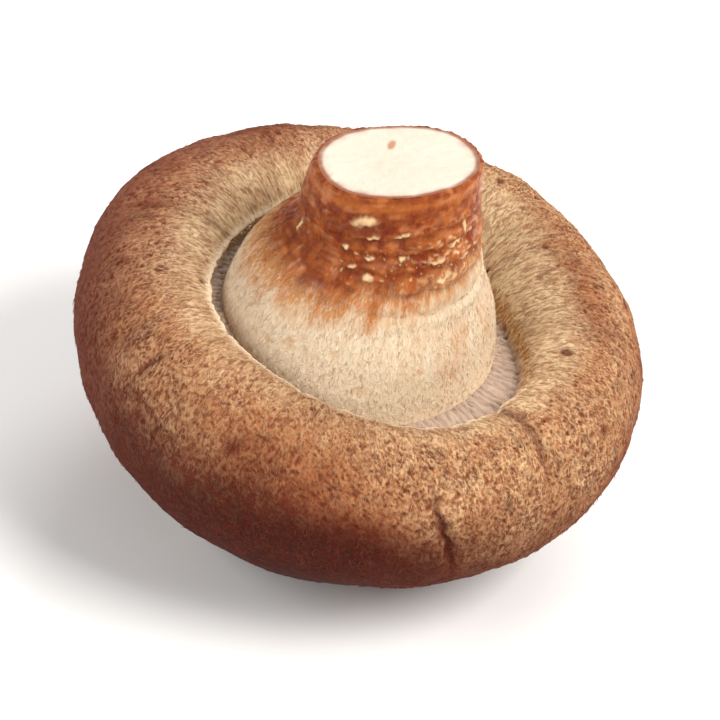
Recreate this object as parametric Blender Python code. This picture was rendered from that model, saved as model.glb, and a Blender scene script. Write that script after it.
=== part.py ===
"""A whole fresh shiitake mushroom, lying upturned on the crown of its cap.

The mushroom is worked out in its own growing frame: crown at the bottom, stalk up the +Z axis, and
rings of points round that axis, from the cut end of the stalk down over the rolled margin to the
crown. It is one piece, as it grew, so it is one object. A warp then gives it its lumps, leans it
over, and stands it on the small flat spot where its own weight rests. The cracks in the skin of the
crown are cut by slim wedges that go through the same warp.
"""

import math

import bpy
import numpy as np

MM = 0.001

# Driving sizes of the cap
CAP_RADIUS = 25.65 * MM
CROWN_DEPTH = 16.4 * MM  # from the crown to the widest ring
CROWN_FULLNESS = 2.01  # 2 is an ellipse, and more is squarer
ROLL_HEIGHT = 8.4 * MM  # from the widest ring to the crest of the rolled margin
ROLL_TURN = math.radians(129)  # how far the margin curls in, 0 at the widest ring
LIP_RADIUS = 14.5 * MM

# Driving sizes of the stalk and of its foot, which flares out under the felt to the groove
STALK_SHIFT = (-0.75 * MM, 0.2 * MM)
FOOT_SPREAD = 0.3  # the foot flares this much further on its broad side, and less behind it
FOOT_SIDE = -85  # degrees
STALK_BOW = 0.55 * MM
STALK_BOW_HEIGHT = 32.0 * MM
STALK_BOW_REACH = 2.6 * MM
STALK_TOP_RADIUS = 7.3 * MM
STALK_TOP_HEIGHT = 39.1 * MM
STALK_SIDE = (  # radius and height below the cut, down the side
    (7.45 * MM, 37.3 * MM),
    (7.6 * MM, 35.4 * MM),
    (7.7 * MM, 33.5 * MM),
    (8.0 * MM, 31.8 * MM),
    (8.6 * MM, 30.3 * MM),
    (9.5 * MM, 28.6 * MM),
    (10.55 * MM, 26.7 * MM),
    (11.5 * MM, 24.6 * MM),
    (12.15 * MM, 22.4 * MM),
    (12.5 * MM, 20.2 * MM),
    (12.65 * MM, 18.8 * MM),
)
STALK_FLARE_FROM = 8.0 * MM  # radius past which the side counts as flare
GROOVE = (  # from the foot of the flare to the lip, as steps out and up from the lip
    (-0.3 * MM, -2.3 * MM),
    (0.2 * MM, -2.4 * MM),
    (0.7 * MM, -1.7 * MM),
    (0.4 * MM, -0.7 * MM),
)
SLOPING_GROOVE = (  # the same steps on the side where the groove's wall slopes in
    (-1.1 * MM, -2.3 * MM),
    (-1.0 * MM, -2.4 * MM),
    (-0.75 * MM, -1.7 * MM),
    (-0.4 * MM, -0.75 * MM),
)
SLOPING_SIDE = 28  # degrees
SLOPING_REACH = (math.radians(42), math.radians(78))
GROOVE_SPREAD = 0.25  # the groove is this much deeper on the foot's broad side
GILL_RISE = 0.35 * MM  # every second point of the groove's floor stands up by this

# The slanting knife cut
CUT_SLOPE = (0.265, -0.174)
CUT_BLEND = (27.0 * MM, 36.5 * MM)  # heights between which the slant comes in
CUT_EDGE = 0.35 * MM

# Wrinkles round the dark part of the stalk, strongest on one side
WRINKLE_TOP = 34.9 * MM
WRINKLE_BOTTOM = 28.9 * MM
WRINKLE_PITCH = 1.5 * MM
WRINKLE_RISE = 0.32 * MM
WRINKLE_SIDE = math.radians(-55)

# Folds in the margin: angle and height of the middle, in degrees and mm, then the width round the
# cap, the reach up and down it and the depth, in mm, and how far it slants, in degrees for each mm.
# A depth below 0 is a swelling.
FOLDS = (
    (66.0, 23.0, 8.0, 6.0, -1.0, 0.0),
    (147.0, 22.0, 8.0, 6.0, -0.5, 0.0),
    (-38.5, 23.8, 1.6, 2.2, 0.55, 0.0),
    (-62.0, 17.0, 0.9, 3.2, 0.6, -0.9),
    (171.0, 23.6, 1.4, 1.6, 0.4, 0.0),
    (112.0, 19.5, 1.8, 4.0, 0.5, 0.7),
)

# How the mushroom rests
LEAN = math.radians(6.0)
LEAN_TOWARDS = math.radians(-25.0)
CROWN_SHIFT = (-1.7 * MM, 0.8 * MM)  # the crown bulges this far off the axis
PRESSED_DEPTH = 0.22 * MM  # how much of the crown the flat spot takes off

# Cracks in the skin of the crown, as paths seen along the axis, in mm, with the middle width
CRACK_DEPTH = 0.65 * MM
CRACK_PROUD = 0.6 * MM  # how far a wedge stands out of the skin
CRACKS = (
    (2.6, ((-19.5, 10.5), (-14.5, 8.4), (-10.0, 6.6), (-5.6, 6.9), (-1.2, 8.2), (3.4, 7.2))),
    (2.2, ((3.4, 7.2), (8.6, 7.9), (13.2, 11.2), (16.2, 15.4))),
    (2.0, ((8.6, 7.9), (12.2, 3.6), (17.4, 1.2), (20.6, 2.2))),
    (2.3, ((-10.0, 6.6), (-8.8, 11.4), (-5.4, 15.6), (-4.6, 20.8))),
    (2.0, ((-10.0, 6.6), (-11.4, 1.4), (-10.2, -3.6), (-5.8, -8.6), (-0.4, -10.6), (5.2, -9.8))),
    (1.8, ((-11.4, 1.4), (-16.2, -0.8), (-20.4, -0.6))),
    (2.1, ((5.2, -9.8), (9.8, -6.4), (15.0, -5.4))),
    (1.8, ((-5.8, -8.6), (-9.8, -11.8), (-11.6, -15.2))),
    (1.8, ((5.2, -9.8), (6.6, -14.2), (5.8, -17.6))),
    (1.8, ((-5.4, 15.6), (0.4, 14.2), (5.2, 16.6), (7.6, 20.6))),
)

# Facets
SIDES = 84
WRINKLE_STEP = 0.52 * MM
STALK_STEP = 1.2 * MM
ROLL_STEPS = 14
CROWN_STEPS = 15
CRACK_STEP = 2.4 * MM
FELTED_SHARE = 0.6  # how much of the rolled margin is felted, from the lip out

SKIN_BROWN = (0.21, 0.085, 0.038)
FELT_TAN = (0.47, 0.27, 0.14)
FELT_CREAM = (0.72, 0.56, 0.40)
STALK_BROWN = (0.28, 0.095, 0.035)
FLESH_CREAM = (0.93, 0.85, 0.70)


def waves(angle, *terms):
    """A sum of cosines round the axis. Each term is its count of waves, height and place in degrees."""
    total = np.zeros_like(angle)
    for count, height, place in terms:
        total = total + height * np.cos(count * (angle - math.radians(place)))
    return total


def cap_radius(angle):
    return CAP_RADIUS * (1 + waves(angle, (2, 0.011, 146), (3, 0.009, 30), (5, 0.004, 20)))


def lip_radius(angle):
    return LIP_RADIUS + MM * waves(angle, (1, 1.6, -75), (2, 0.5, -60), (3, 0.7, -30))


def roll_height(angle):
    return ROLL_HEIGHT * (1 + waves(angle, (1, 0.05, 130), (2, 0.02, 147), (3, 0.02, 15), (4, 0.03, 55)))


def roll_turn(angle):
    return ROLL_TURN + np.radians(waves(angle, (1, 6.0, 50), (3, 2.0, 40)))


def step_between(value, low, high):
    """0 below low, 1 above high, and smooth between."""
    t = np.clip((value - low) / (high - low), 0, 1)
    return t * t * (3 - 2 * t)


def bump(value, middle, reach):
    """1 in the middle, and falling off smoothly either side of it."""
    return np.exp(-(((value - middle) / reach) ** 2))


def smooth_path(points, step):
    """Points about every step along the Catmull-Rom curve through the given points."""
    points = np.array(points)
    padded = np.vstack([2 * points[0] - points[1], points, 2 * points[-1] - points[-2]])
    path = []
    for before, start, end, after in zip(padded, padded[1:], padded[2:], padded[3:]):
        count = max(1, round(float(np.linalg.norm(end - start)) / step))
        for t in np.arange(count) / count:
            slope = end - before
            bend = 2 * before - 5 * start + 4 * end - after
            twist = 3 * start - before - 3 * end + after
            path.append(start + 0.5 * t * (slope + t * (bend + t * twist)))
    path.append(points[-1])
    return np.array(path)


def roll_point(angle, turn):
    """Radius and height on the rolled margin, an elliptical arc whose turn is 0 at the widest ring."""
    inward = (cap_radius(angle) - lip_radius(angle)) / (1 - np.cos(roll_turn(angle)))
    radius = cap_radius(angle) - inward * (1 - np.cos(turn))
    return radius, CROWN_DEPTH + roll_height(angle) * np.sin(turn)


def crown_point(angle, turn):
    """Radius and height on the crown, a superellipse whose turn is 0 at the widest ring."""
    power = 2 / CROWN_FULLNESS
    return cap_radius(angle) * np.cos(turn) ** power, CROWN_DEPTH * (1 - np.sin(turn) ** power)


def crown_height(x, y):
    """Height of the crown's skin over a point seen along the axis."""
    share = np.hypot(x, y) / cap_radius(np.arctan2(y, x))
    return CROWN_DEPTH * (1 - (1 - share**CROWN_FULLNESS) ** (1 / CROWN_FULLNESS))


def ring_points(angle, radius, height):
    """One ring of points from a radius and height at each angle."""
    angle, radius, height = np.broadcast_arrays(angle, radius, height)
    return np.stack([radius * np.cos(angle), radius * np.sin(angle), height], axis=-1)


def wrinkles(angle, height):
    """How far the stalk's wrinkles stand out: rounded ridges with sharp furrows between them."""
    inside = step_between(height, WRINKLE_BOTTOM - WRINKLE_PITCH, WRINKLE_BOTTOM)
    inside = inside * (1 - step_between(height, WRINKLE_TOP, WRINKLE_TOP + WRINKLE_PITCH))
    strength = 0.6 + 0.4 * np.cos(angle - WRINKLE_SIDE)
    wander = height + 0.35 * MM * np.sin(2 * angle + 0.6)
    return WRINKLE_RISE * inside * strength * np.abs(np.sin(np.pi * wander / WRINKLE_PITCH))


def groove_depth(angle):
    """How deep the groove is, as a share of its mean depth."""
    return 1 + waves(angle, (1, GROOVE_SPREAD, FOOT_SIDE))


def sloping(angle):
    """1 where the groove's wall slopes in, and 0 where it runs in under the lip."""
    away = angle - math.radians(SLOPING_SIDE)
    return 1 - step_between(np.abs(np.arctan2(np.sin(away), np.cos(away))), *SLOPING_REACH)


def groove_rings(angle):
    """The groove between the stalk's foot and the lip, with the edges of the gills on its floor."""
    radius, height = roll_point(angle, roll_turn(angle))
    second = np.arange(SIDES) % 2
    rings = []
    for step, (under, slope) in enumerate(zip(np.array(GROOVE), np.array(SLOPING_GROOVE))):
        out, up = (under + sloping(angle)[:, None] * (slope - under)).T
        gill = GILL_RISE * second if step < len(GROOVE) - 1 else 0
        rings.append(ring_points(angle, radius + out, height + up * groove_depth(angle) + gill))
    return np.array(rings)


def stalk_heights(foot):
    """Heights of the stalk's rings down to its foot, close together only where the wrinkles are."""
    stops = (STALK_TOP_HEIGHT - CUT_EDGE, WRINKLE_TOP, WRINKLE_BOTTOM)
    heights = [stops[0] + 0 * foot]
    for high, low, step in zip(stops, (*stops[1:], foot), (STALK_STEP, WRINKLE_STEP, STALK_STEP)):
        count = round(float(np.mean(high - low)) / step) + 1
        heights.extend(np.linspace(high + 0 * foot, low + 0 * foot, count)[1:])
    return np.array(heights)


def stalk_rings(angle, foot):
    """Rings of the stalk from its cut down to the given height of its foot at each angle."""
    below_cut = (STALK_TOP_RADIUS, STALK_TOP_HEIGHT - CUT_EDGE)
    side = smooth_path((below_cut, *STALK_SIDE), WRINKLE_STEP)[::-1]
    rings = [ring_points(angle, STALK_TOP_RADIUS - CUT_EDGE, STALK_TOP_HEIGHT)]
    spread = 1 + waves(angle, (1, FOOT_SPREAD, FOOT_SIDE))
    for height in stalk_heights(foot):
        radius = np.interp(height, side[:, 1], side[:, 0])
        flare = np.maximum(0, radius - STALK_FLARE_FROM)
        radius = radius - flare + flare * spread + wrinkles(angle, height)
        rings.append(ring_points(angle, radius, height))
    rings = np.array(rings)
    bow = STALK_BOW * bump(rings[..., 2], STALK_BOW_HEIGHT, STALK_BOW_REACH)
    rings[..., 0] += STALK_SHIFT[0] + bow
    rings[..., 1] += STALK_SHIFT[1]
    return rings


def mushroom_rings():
    """Rings of points in three bands: the stalk, the groove, and the cap from its lip to its crown."""
    angle = np.arange(SIDES) * (2 * math.pi / SIDES)
    cap = []
    for share in np.linspace(1, 0, ROLL_STEPS):
        cap.append(ring_points(angle, *roll_point(angle, share * roll_turn(angle))))
    for share in np.arange(1, CROWN_STEPS) / CROWN_STEPS:
        cap.append(ring_points(angle, *crown_point(angle, share * math.pi / 2)))
    groove = groove_rings(angle)
    foot = roll_point(angle, roll_turn(angle))[1] + GROOVE[0][1] * groove_depth(angle)
    return stalk_rings(angle, foot), groove, np.array(cap)


def slant_cut(points):
    """Slants the cut, more and more with height above the margin."""
    x, y, z = points[..., 0], points[..., 1], points[..., 2]
    risen = step_between(z, *CUT_BLEND)
    return np.stack([x, y, z + risen * (CUT_SLOPE[0] * x + CUT_SLOPE[1] * y)], axis=-1)


def lumps(points):
    """The small lumps of a grown thing: a sum of slanting waves, as steps away from the middle."""
    x, y, z = np.moveaxis(points / (10 * MM), -1, 0)
    swell = np.sin(2.3 * x + 1.1 * y + 0.8) * np.cos(1.9 * y - 1.3 * z + 0.4)
    ripple = np.sin(4.7 * x - 3.1 * y + 2.2 * z) * np.sin(3.9 * y + 2.8 * z + 1.7)
    return 0.3 * MM * swell + 0.12 * MM * ripple


def fold_depth(points):
    """How far the folds sink the outer skin of the margin."""
    x, y, z = np.moveaxis(points, -1, 0)
    angle, radius = np.arctan2(y, x), np.hypot(x, y)
    outside = step_between(radius, lip_radius(angle), lip_radius(angle) + 2 * MM)
    depth = np.zeros_like(z)
    for place, height, width, reach, deep, slant in FOLDS:
        along = z / MM - height
        aside = angle - math.radians(place) - np.radians(slant) * along
        aside = np.arctan2(np.sin(aside), np.cos(aside)) * radius / MM
        depth = depth + deep * MM * bump(aside, 0, width) * bump(along, 0, reach)
    return depth * outside


def grow(points):
    """The warp from the even body to the grown one, still in the growing frame."""
    points = slant_cut(points)
    sunk = 1 - step_between(points[..., 2], 0, CROWN_DEPTH)
    shift = sunk[..., None] * np.array([*CROWN_SHIFT, 0])
    away = points - np.array([0, 0, CROWN_DEPTH])
    away = away / np.maximum(np.linalg.norm(away, axis=-1, keepdims=True), 1 * MM)
    return points + shift + (lumps(points) - fold_depth(points))[..., None] * away


def lean_over(points):
    """Turns the growing frame over by LEAN towards LEAN_TOWARDS."""
    c, s = math.cos(LEAN_TOWARDS), math.sin(LEAN_TOWARDS)
    heading = np.array([[c, -s, 0], [s, c, 0], [0, 0, 1]])
    c, s = math.cos(LEAN), math.sin(LEAN)
    tip = np.array([[c, 0, s], [0, 1, 0], [-s, 0, c]])
    return points @ (heading @ tip @ heading.T).T


def flat_spot(leaned):
    """Middle of the flat spot on the leaned crown."""
    floor = leaned[:, 2].min() + PRESSED_DEPTH
    pressed = leaned[leaned[:, 2] < floor]
    return np.array([*pressed[:, :2].mean(axis=0), floor])


def mushroom_faces(count):
    """Triangles of the cut, then quads band by band down the body, then triangles at the crown."""
    here = np.arange(SIDES)
    following = (here + 1) % SIDES
    faces = [(0, 1 + a, 1 + b) for a, b in zip(here, following)]
    for band in range(count - 1):
        upper, lower = 1 + band * SIDES, 1 + (band + 1) * SIDES
        faces.extend((upper + a, lower + a, lower + b, upper + b) for a, b in zip(here, following))
    last = 1 + (count - 1) * SIDES
    faces.extend((last + a, 1 + count * SIDES, last + b) for a, b in zip(here, following))
    return faces


def make_material(name, colour, roughness):
    material = bpy.data.materials.new(name)
    material.use_nodes = True
    shader = material.node_tree.nodes["Principled BSDF"]
    shader.inputs["Base Color"].default_value = (*colour, 1)
    shader.inputs["Roughness"].default_value = roughness
    shader.inputs["Metallic"].default_value = 0
    return material


def make_object(name, points, faces, materials):
    mesh = bpy.data.meshes.new(name)
    mesh.from_pydata(points.tolist(), [], faces)
    for material in materials:
        mesh.materials.append(material)
    made = bpy.data.objects.new(name, mesh)
    bpy.context.scene.collection.objects.link(made)
    return made


def band_zones(stalk, groove, cap):
    """Which material each band of faces has, from the cut to the crown."""
    skin, margin, foot, stalk_skin, flesh = range(5)
    dark = int((stalk[1:, :, 2].mean(axis=1) > WRINKLE_BOTTOM).sum())
    felted = round(ROLL_STEPS * FELTED_SHARE)
    zones = [flesh] * 2 + [stalk_skin] * dark
    zones += [foot] * (len(stalk) + len(groove) - 1 - dark)
    zones += [margin] * felted
    zones += [skin] * (len(cap) - felted)
    return zones


def make_mushroom():
    """The whole body, and where the middle of its flat spot is in the leaned frame."""
    stalk, groove, cap = mushroom_rings()
    rings = np.concatenate([stalk, groove, cap])
    cut_centre = np.array([[*STALK_SHIFT, STALK_TOP_HEIGHT]])
    body = np.vstack([cut_centre, rings.reshape(-1, 3), np.zeros((1, 3))])
    leaned = lean_over(grow(body))
    spot = flat_spot(leaned)
    placed = leaned - spot
    placed[:, 2] = np.maximum(placed[:, 2], 0)
    looks = [
        make_material("cap_skin", SKIN_BROWN, 0.55),
        make_material("margin_felt", FELT_TAN, 0.9),
        make_material("stalk_felt", FELT_CREAM, 0.9),
        make_material("stalk_skin", STALK_BROWN, 0.5),
        make_material("flesh", FLESH_CREAM, 0.7),
    ]
    mushroom = make_object("shiitake_mushroom", placed, mushroom_faces(len(rings)), looks)
    zones = np.repeat(band_zones(stalk, groove, cap), SIDES)
    mushroom.data.polygons.foreach_set("material_index", zones)
    mushroom.data.shade_smooth()
    mushroom.data.set_sharp_from_angle(angle=math.radians(50))
    return mushroom, spot


def wedge_points(path, width):
    """A slim wedge along a crack: two edges proud of the skin and one under it, drawn in to its ends."""
    path = smooth_path(np.array(path) * MM, CRACK_STEP)
    along = np.gradient(path, axis=0)
    along = along / np.linalg.norm(along, axis=1, keepdims=True)
    side = np.stack([along[:, 1], -along[:, 0]], axis=1)
    share = np.linspace(0, 1, len(path))
    swell = np.sqrt(np.sin(np.pi * np.clip(share, 0.06, 0.94)))
    half = swell * width * MM / 2 * (CRACK_DEPTH + CRACK_PROUD) / CRACK_DEPTH
    rows = []
    for offset, sink in ((-half, -CRACK_PROUD), (half, -CRACK_PROUD), (0 * half, CRACK_DEPTH * swell)):
        flat = path + side * offset[:, None]
        surface = np.column_stack([flat, crown_height(flat[:, 0], flat[:, 1])])
        inward = np.array([0, 0, CROWN_DEPTH]) - surface
        inward = inward / np.linalg.norm(inward, axis=1, keepdims=True)
        rows.append(surface + inward * np.reshape(sink, (-1, 1)))
    return np.stack(rows, axis=1).reshape(-1, 3)


def wedge_faces(count):
    """Three long sides and two ends, for rows of three points."""
    faces = []
    for row in range(count - 1):
        for a, b in ((1, 0), (2, 1), (0, 2)):
            faces.append((3 * row + a, 3 * row + b, 3 * row + 3 + b, 3 * row + 3 + a))
    last = 3 * (count - 1)
    faces.append((0, 1, 2))
    faces.append((last + 2, last + 1, last))
    return faces


def cut_cracks(mushroom, spot):
    """Cuts the cracks out of the crown, one wedge at a time."""
    pale = mushroom.data.materials["flesh"]
    for number, (width, path) in enumerate(CRACKS, start=1):
        points = lean_over(grow(wedge_points(path, width))) - spot
        wedge = make_object(f"crack_{number:02d}", points, wedge_faces(len(points) // 3), [pale])
        wedge.hide_render = True
        wedge.display_type = "WIRE"
        cut = mushroom.modifiers.new(f"crack_{number:02d}", "BOOLEAN")
        cut.operation = "DIFFERENCE"
        cut.solver = "EXACT"
        cut.material_mode = "TRANSFER"
        cut.object = wedge


def clear_scene():
    for old in list(bpy.data.objects):
        bpy.data.objects.remove(old)


clear_scene()
cut_cracks(*make_mushroom())
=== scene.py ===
"""Dresses the upturned shiitake mushroom and sets it on a white studio floor.

The mushroom's skin is worked out in the growing frame, with the crown at the bottom and the stalk up
+Z, as rings round that axis. The same warp as the solid's then lumps it, leans it over and stands it
on its flat spot. Felt, cracks, wrinkles and gill edges are raised from those rings.
"""

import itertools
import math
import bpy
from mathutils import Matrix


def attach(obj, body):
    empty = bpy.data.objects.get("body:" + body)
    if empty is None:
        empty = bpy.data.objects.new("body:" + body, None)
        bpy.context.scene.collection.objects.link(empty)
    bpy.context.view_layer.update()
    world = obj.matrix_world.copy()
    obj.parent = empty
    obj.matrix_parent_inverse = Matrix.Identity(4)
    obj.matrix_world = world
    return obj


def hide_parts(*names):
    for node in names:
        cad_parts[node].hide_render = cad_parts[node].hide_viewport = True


bl_info = {
    "name": "Shiitake Mushroom",
    "version": (1, 0, 0),
    "blender": (4, 5, 0),
    "location": "View3D > Sidebar > Mushroom",
    "description": "An upturned shiitake mushroom with a felted margin, a cut stalk and a soft studio",
    "category": "Add Mesh",
}

import bpy
import numpy as np
from mathutils import Matrix, Vector

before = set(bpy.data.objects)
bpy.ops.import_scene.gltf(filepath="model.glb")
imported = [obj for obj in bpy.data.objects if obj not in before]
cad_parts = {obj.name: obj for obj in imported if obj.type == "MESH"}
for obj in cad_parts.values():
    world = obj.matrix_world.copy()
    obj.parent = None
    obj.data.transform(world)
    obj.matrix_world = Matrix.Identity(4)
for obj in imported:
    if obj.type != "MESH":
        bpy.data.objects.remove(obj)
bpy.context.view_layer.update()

MM = 0.001

# The stalk's side, as radius and height down from below the cut
STALK_SIDE = MM * np.array(
    (
        (7.45, 37.3),
        (7.6, 35.4),
        (7.7, 33.5),
        (8.0, 31.8),
        (8.6, 30.3),
        (9.5, 28.6),
        (10.55, 26.7),
        (11.5, 24.6),
        (12.15, 22.4),
        (12.5, 20.2),
        (12.65, 18.8),
        (12.7, 18.1),
    )
)

# The groove from its floor up to the lip, as steps out and up from the lip. In front it runs in
# under the lip, and right of the stalk its wall slopes in from the lip.
GROOVE = MM * np.array(((-0.3, -2.15), (0.2, -2.2), (0.7, -1.6), (0.4, -0.6), (0.1, -0.15), (0, 0)))
SLOPING_GROOVE = MM * np.array(
    ((-1.1, -2.15), (-1.0, -2.2), (-0.75, -1.65), (-0.45, -0.85), (-0.22, -0.35), (0, 0))
)

# Folds in the margin: angle and height of the middle, in degrees and mm, then the width round the
# cap, the reach up and down it and the depth, in mm, how far it slants, in degrees for each mm, and
# how dark the painted shade along its bottom is. A depth below 0 is a swelling.
FOLDS = (
    (66.0, 23.0, 8.0, 6.0, -1.0, 0.0, 0.0),
    (147.0, 22.0, 8.0, 6.0, -0.5, 0.0, 0.0),
    (-38.5, 23.8, 1.6, 2.2, 0.55, 0.0, 0.5),
    (-62.7, 17.8, 0.9, 3.8, 0.6, -0.9, 1.0),
    (171.0, 23.6, 1.4, 1.6, 0.4, 0.0, 0.35),
    (112.0, 19.5, 1.8, 4.0, 0.5, 0.7, 0.0),
    (-138.0, 22.2, 0.8, 1.3, 0.3, 0.9, 0.8),
)

# Dark pits in the margin: angle in degrees, then mm down from the lip and the radius in mm
PITS = (
    (-132.8, 12.9, 0.5),
    (-110.3, 10.2, 0.55),
    (-151.0, 10.8, 0.4),
    (-96.0, 12.6, 0.4),
    (-20.0, 9.4, 0.45),
    (138.0, 12.2, 0.45),
)

# Cracks in the skin of the crown, as paths seen along the axis, in mm, with the middle width
CRACKS = (
    (2.6, ((-19.5, 10.5), (-14.5, 8.4), (-10.0, 6.6), (-5.6, 6.9), (-1.2, 8.2), (3.4, 7.2))),
    (2.2, ((3.4, 7.2), (8.6, 7.9), (13.2, 11.2), (16.2, 15.4))),
    (2.0, ((8.6, 7.9), (12.2, 3.6), (17.4, 1.2), (20.6, 2.2))),
    (2.3, ((-10.0, 6.6), (-8.8, 11.4), (-5.4, 15.6), (-4.6, 20.8))),
    (2.0, ((-10.0, 6.6), (-11.4, 1.4), (-10.2, -3.6), (-5.8, -8.6), (-0.4, -10.6), (5.2, -9.8))),
    (1.8, ((-11.4, 1.4), (-16.2, -0.8), (-20.4, -0.6))),
    (2.1, ((5.2, -9.8), (9.8, -6.4), (15.0, -5.4))),
    (1.8, ((-5.8, -8.6), (-9.8, -11.8), (-11.6, -15.2))),
    (1.8, ((5.2, -9.8), (6.6, -14.2), (5.8, -17.6))),
    (1.8, ((-5.4, 15.6), (0.4, 14.2), (5.2, 16.6), (7.6, 20.6))),
)

# Pale scales on the dark stalk: angle in degrees, height, width and height of the scale, in mm
SCALES = (
    (-102.0, 36.6, 1.9, 1.05),
    (-94.0, 35.1, 1.0, 0.25),
    (-76.0, 35.3, 1.0, 0.25),
    (-112.0, 33.6, 0.5, 0.45),
    (-95.0, 33.0, 0.7, 0.35),
    (-74.0, 33.2, 0.6, 0.45),
    (-105.0, 31.9, 0.55, 0.3),
    (-94.0, 31.3, 0.7, 0.35),
    (-52.0, 32.6, 1.1, 0.28),
    (-38.0, 33.6, 1.0, 0.3),
    (-30.0, 34.6, 0.35, 0.9),
    (-47.0, 31.2, 1.2, 0.25),
    (-28.0, 32.2, 0.9, 0.25),
    (-158.0, 32.4, 0.3, 1.6),
)

# The lights: name, place and width in metres, power in watts and tint
LIGHTS = (
    ("key_light", (0.72, -0.25, 0.88), 0.55, 14.0, (1.0, 0.965, 0.92)),
    ("fill_light", (-0.75, -0.55, 0.6), 0.7, 7.5, (1.0, 0.98, 0.95)),
    ("back_light", (0.2, 0.8, 0.8), 0.7, 6.0, (1.0, 0.99, 0.97)),
)
WORLD_STRENGTH = 0.34

# The camera: its distance in metres, its lens in mm, and its angles in the growing frame
CAMERA_DISTANCE = 0.6
CAMERA_LENS = 335
CAMERA_ELEVATION = math.radians(41)
CAMERA_ROLL = math.radians(15)
AIM_HEIGHT, AIM_RIGHT, AIM_UP = 17 * MM, 0.15 * MM, -1.2 * MM

FLOOR_SIDES = 96
FLOOR_RADII = (1.6, 0.8, 0.2)
FLOOR_LEVEL = -0.00005

# How many points each ring has, and how many rings each part of the cap and of the stalk has
CAP_SIDES = 960
STALK_SIDES = 672
HIDDEN_RINGS, GROOVE_RINGS, LIP_RINGS, MARGIN_RINGS, SIDE_RINGS, CROWN_RINGS = 11, 38, 40, 84, 56, 72
CORNER_RINGS, STALK_RINGS, DARK_RINGS, FACE_RINGS = 6, 166, 75, 25
CUT_CORNER = 0.35 * MM

# The solid's rings, which give the flat spot its place
SOLID_SIDES = 84
SOLID_CROWN_STEPS = 15

GRADIENTS = np.random.default_rng(11).normal(size=(64, 3))
GRADIENTS /= np.linalg.norm(GRADIENTS, axis=1, keepdims=True)


def tone(red, green, blue):
    """A scene-linear colour from screen values between 0 and 255."""
    share = np.array([red, green, blue]) / 255
    linear = np.where(share <= 0.04045, share / 12.92, ((share + 0.055) / 1.055) ** 2.4)
    return tuple(float(value) for value in linear)


def number(name, description, default):
    """A plain number, as a property."""
    return bpy.props.FloatProperty(name=name, description=description, default=default)


def tilt(name, description, degrees):
    """An angle, as a property."""
    return bpy.props.FloatProperty(
        name=name, description=description, default=math.radians(degrees), subtype="ANGLE"
    )


def count_of(name, description, default, least=0):
    """A whole number, as a property."""
    return bpy.props.IntProperty(name=name, description=description, default=default, min=least)


def length(name, description, default):
    """A length in metres, as a property."""
    return bpy.props.FloatProperty(
        name=name, description=description, default=default, unit="LENGTH", precision=5
    )


def colour(name, description, *screen):
    """A colour, as a property, from screen values between 0 and 255."""
    return bpy.props.FloatVectorProperty(
        name=name, description=description, default=tone(*screen), subtype="COLOR", min=0, max=1
    )


class MushroomShape(bpy.types.PropertyGroup):
    """Sizes of the mushroom, the same as the solid's."""

    cap_radius: length("Cap radius", "Mean radius of the widest ring", 25.65 * MM)
    crown_depth: length("Crown depth", "From the crown to the widest ring", 16.4 * MM)
    crown_fullness: number("Crown fullness", "2 is an ellipse, and more is squarer", 2.01)
    roll_height: length("Roll height", "From the widest ring to the margin's crest", 8.4 * MM)
    roll_turn: tilt("Roll turn", "How far the margin curls in", 129)
    lip_radius: length("Lip radius", "Mean radius of the margin's lip", 14.5 * MM)
    stalk_shift_x: length("Stalk shift X", "How far the stalk stands off the axis", -0.75 * MM)
    stalk_shift_y: length("Stalk shift Y", "How far the stalk stands off the axis", 0.2 * MM)
    stalk_top_radius: length("Stalk top radius", "Radius at the cut", 7.3 * MM)
    stalk_top_height: length("Stalk top height", "Height of the cut's middle", 39.1 * MM)
    foot_spread: number("Foot spread", "How much further the foot flares on its broad side", 0.3)
    cut_slope_x: number("Cut slope X", "Slant of the cut", 0.265)
    cut_slope_y: number("Cut slope Y", "Slant of the cut", -0.174)
    lean: tilt("Lean", "How far it leans over", 6)
    lean_towards: tilt("Lean towards", "Which way it leans", -25)
    crown_shift_x: length("Crown shift X", "How far the crown bulges off the axis", -1.7 * MM)
    crown_shift_y: length("Crown shift Y", "How far the crown bulges off the axis", 0.8 * MM)
    pressed_depth: length("Pressed depth", "How much of the crown the flat spot takes off", 0.22 * MM)


class MushroomRelief(bpy.types.PropertyGroup):
    """Heights of the fine relief."""

    felt: length("Felt", "Height of the curly felt on the margin", 0.13 * MM)
    streaks: length("Streaks", "Height of the straight fibres by the lip", 0.1 * MM)
    foot_felt: length("Foot felt", "Height of the felt on the stalk's foot", 0.08 * MM)
    skin: length("Skin", "Height of the crown's small warts", 0.09 * MM)
    crack: length("Crack", "Depth of the cracks", 0.6 * MM)
    gill: length("Gill", "Height of the gill edges in the groove", 0.18 * MM)
    wrinkle: length("Wrinkle", "Height of the stalk's wrinkles", 0.32 * MM)
    gills: count_of("Gills", "How many gills", 108, 12)
    margin_fibres: count_of("Margin fibres", "Loose fibres on the margin", 6600)
    foot_fibres: count_of("Foot fibres", "Loose fibres on the foot", 3000)


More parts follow.
